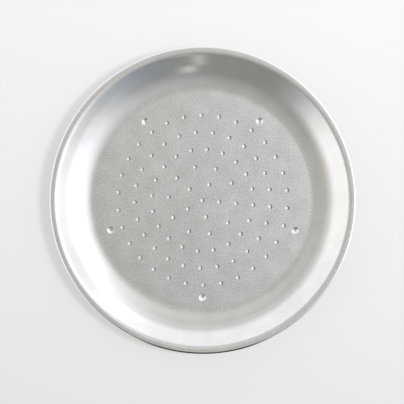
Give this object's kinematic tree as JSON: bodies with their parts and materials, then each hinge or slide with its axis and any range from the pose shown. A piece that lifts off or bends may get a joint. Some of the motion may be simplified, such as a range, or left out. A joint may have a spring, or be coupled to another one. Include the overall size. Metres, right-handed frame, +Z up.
{
  "type": "pizza pan",
  "caption": "Round shallow baking pan of pressed aluminium with a perforated floor, pressed feet, a flared wall and a rim rolled over a wire.",
  "frame": {"origin": "on the pan's axis, in the plane that the pressed feet stand on", "axes": "+Z up along the pan's axis; -Y runs through the middle of one foot"},
  "size_m": [0.3559, 0.356, 0.025],
  "materials": {
    "satin_aluminium": "satin, uncoated, fine matt floor and smoother drawn wall",
    "galvanised_wire": "dull zinc-coated steel wire"
  },
  "bodies": {
    "root": {"pan_shell": "satin_aluminium", "rim_wire": "galvanised_wire"}
  },
  "joints": []
}
